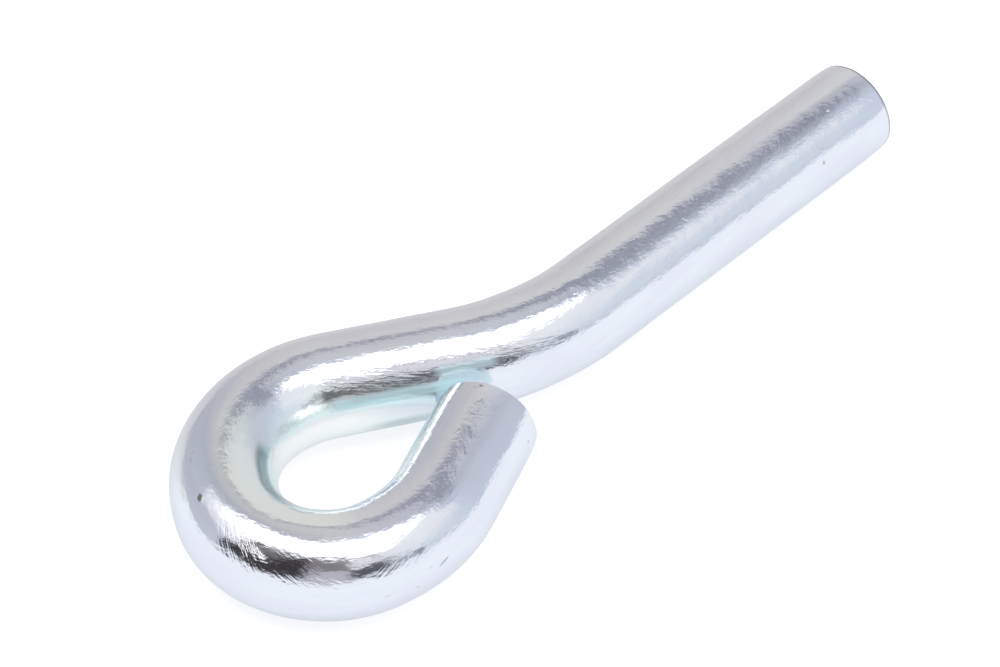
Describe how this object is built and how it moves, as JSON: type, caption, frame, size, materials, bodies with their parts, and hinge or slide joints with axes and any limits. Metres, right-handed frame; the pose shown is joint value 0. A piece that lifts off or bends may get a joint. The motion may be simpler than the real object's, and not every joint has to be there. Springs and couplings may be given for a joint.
{
  "type": "cotter pin",
  "caption": "Solid round rod pin, zinc plated, with a straight shank, a shallow reverse bend and a closed teardrop eye whose cut tip stands just clear of the neck.",
  "frame": {"origin": "on the shank's axis, where the straight shank ends and the reverse bend begins", "axes": "+X along the shank, out of its cut end; +Z square to the plane that the rod is bent in, so that the pin lies flat; the eye is at -X"},
  "size_m": [0.0878, 0.0306, 0.01],
  "materials": {
    "zinc_plate": "bright zinc plate on drawn steel rod, with fine lengthwise drawing marks and a pale blue and lilac cast"
  },
  "bodies": {
    "root": {"pin": "zinc_plate"}
  },
  "joints": []
}
